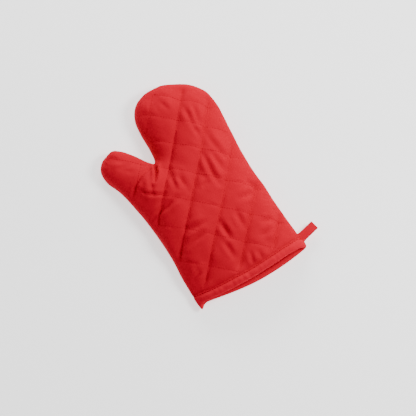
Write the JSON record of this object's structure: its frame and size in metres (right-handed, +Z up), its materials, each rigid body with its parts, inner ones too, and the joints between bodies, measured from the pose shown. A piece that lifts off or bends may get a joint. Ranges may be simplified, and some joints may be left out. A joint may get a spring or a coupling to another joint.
{
  "type": "oven mitt",
  "caption": "Quilted cotton oven mitt lying palm up, with a folding thumb and fingertips, a bound open cuff and a hanging loop.",
  "frame": {"origin": "under the middle of the mitt's box, on the table it lies on", "axes": "+Y from the cuff to the fingertips, +Z up from the table through the palm, thumb on the -X side"},
  "size_m": [0.2104, 0.2712, 0.0382],
  "materials": {
    "cover": "matt red cotton cloth",
    "wadding": "off-white needled cotton wadding",
    "lining": "matt dark red cotton cloth",
    "tape": "red woven cotton tape",
    "thread": "red sewing thread"
  },
  "bodies": {
    "hand": {"palm_cover_hand": "cover", "palm_wadding_hand": "wadding", "palm_lining_hand": "lining", "back_cover_hand": "cover", "back_wadding_hand": "wadding", "back_lining_hand": "lining", "palm_cover_knuckles": "cover", "palm_wadding_knuckles": "wadding", "palm_lining_knuckles": "lining", "back_cover_knuckles": "cover", "back_wadding_knuckles": "wadding", "back_lining_knuckles": "lining", "palm_cover_thumb_base": "cover", "palm_wadding_thumb_base": "wadding", "palm_lining_thumb_base": "lining", "back_cover_thumb_base": "cover", "back_wadding_thumb_base": "wadding", "back_lining_thumb_base": "lining", "cuff_binding": "tape", "cuff_stitching": "thread"},
    "fingers": {"palm_cover_fingertips": "cover", "palm_wadding_fingertips": "wadding", "palm_lining_fingertips": "lining", "back_cover_fingertips": "cover", "back_wadding_fingertips": "wadding", "back_lining_fingertips": "lining"},
    "thumb": {"palm_cover_thumb": "cover", "palm_wadding_thumb": "wadding", "palm_lining_thumb": "lining", "back_cover_thumb": "cover", "back_wadding_thumb": "wadding", "back_lining_thumb": "lining"},
    "loop": {"hanging_loop": "tape"}
  },
  "joints": [
    {"name": "knuckle_fold", "type": "hinge", "parent": "hand", "child": "fingers", "pos_m": [0.01098, 0.07197, 0.012], "axis": [1, 0, 0], "range_deg": [0, 60], "stiffness_Nm_per_rad": 0.02, "deforming": ["palm_cover_knuckles", "palm_wadding_knuckles", "palm_lining_knuckles", "back_cover_knuckles", "back_wadding_knuckles", "back_lining_knuckles"]},
    {"name": "thumb_fold", "type": "hinge", "parent": "hand", "child": "thumb", "pos_m": [-0.06774, 0.04157, 0.01], "axis": [0.6832, 0.7302, 0], "range_deg": [0, 50], "stiffness_Nm_per_rad": 0.01, "deforming": ["palm_cover_thumb_base", "palm_wadding_thumb_base", "palm_lining_thumb_base", "back_cover_thumb_base", "back_wadding_thumb_base", "back_lining_thumb_base"]},
    {"name": "loop_swing", "type": "hinge", "parent": "hand", "child": "loop", "pos_m": [0.08365, -0.11086, 0.008], "axis": [0.342, -0.9397, 0], "range_deg": [-10, 80], "stiffness_Nm_per_rad": 0.002}
  ]
}
